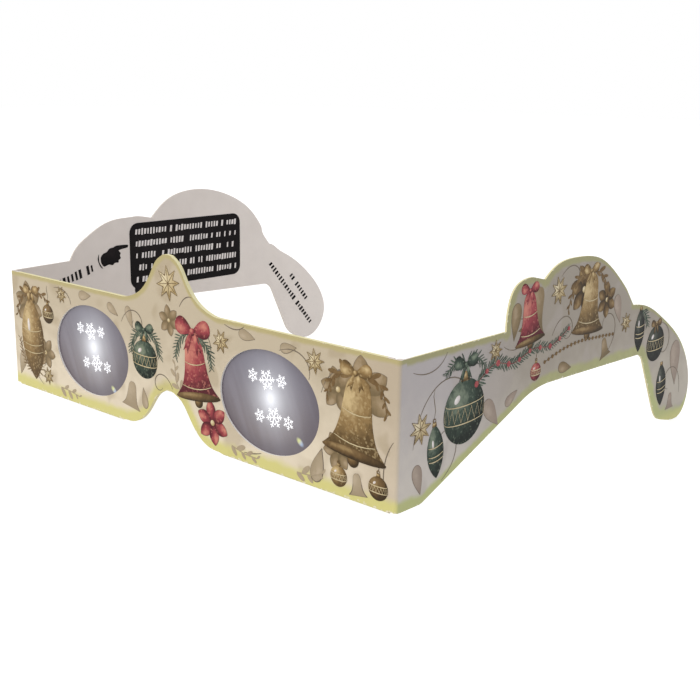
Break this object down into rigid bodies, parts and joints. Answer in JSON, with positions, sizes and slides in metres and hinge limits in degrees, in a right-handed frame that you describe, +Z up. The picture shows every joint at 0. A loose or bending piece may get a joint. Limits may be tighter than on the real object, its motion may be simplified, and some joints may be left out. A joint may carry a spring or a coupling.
{
  "type": "diffraction glasses",
  "caption": "Folding paper glasses with oval diffraction film windows, a raised nose peak, and cloud-shaped temples that end in ear hooks.",
  "frame": {"origin": "middle of the footprint, at the height of the lowest ear hook's underside", "axes": "+X to the wearer's left, across the front; -Y the way the wearer looks, out of the printed face; +Z up, along the creases"},
  "size_m": [0.145, 0.1356, 0.0596],
  "materials": {
    "printed_card": "clay-coated card, printed on its outer side, soft gloss",
    "plain_card": "uncoated white inside of the same card",
    "glue": "dried white glue",
    "diffraction_film": "glossy embossed polyester film, violet grey with a bright centre"
  },
  "bodies": {
    "front": {"front_card": "printed_card", "back_card": "plain_card", "glue_layer": "glue", "left_film": "diffraction_film", "right_film": "diffraction_film"},
    "left_arm": {"left_temple": "printed_card"},
    "right_arm": {"right_temple": "printed_card"}
  },
  "joints": [
    {"name": "left_crease", "type": "hinge", "parent": "front", "child": "left_arm", "pos_m": [0.07172, -0.06707, 0.02391], "axis": [0, 0, 1], "range_deg": [-90, 90]},
    {"name": "right_crease", "type": "hinge", "parent": "front", "child": "right_arm", "pos_m": [-0.07172, -0.06707, 0.02391], "axis": [0, 0, -1], "range_deg": [-90, 85]}
  ]
}
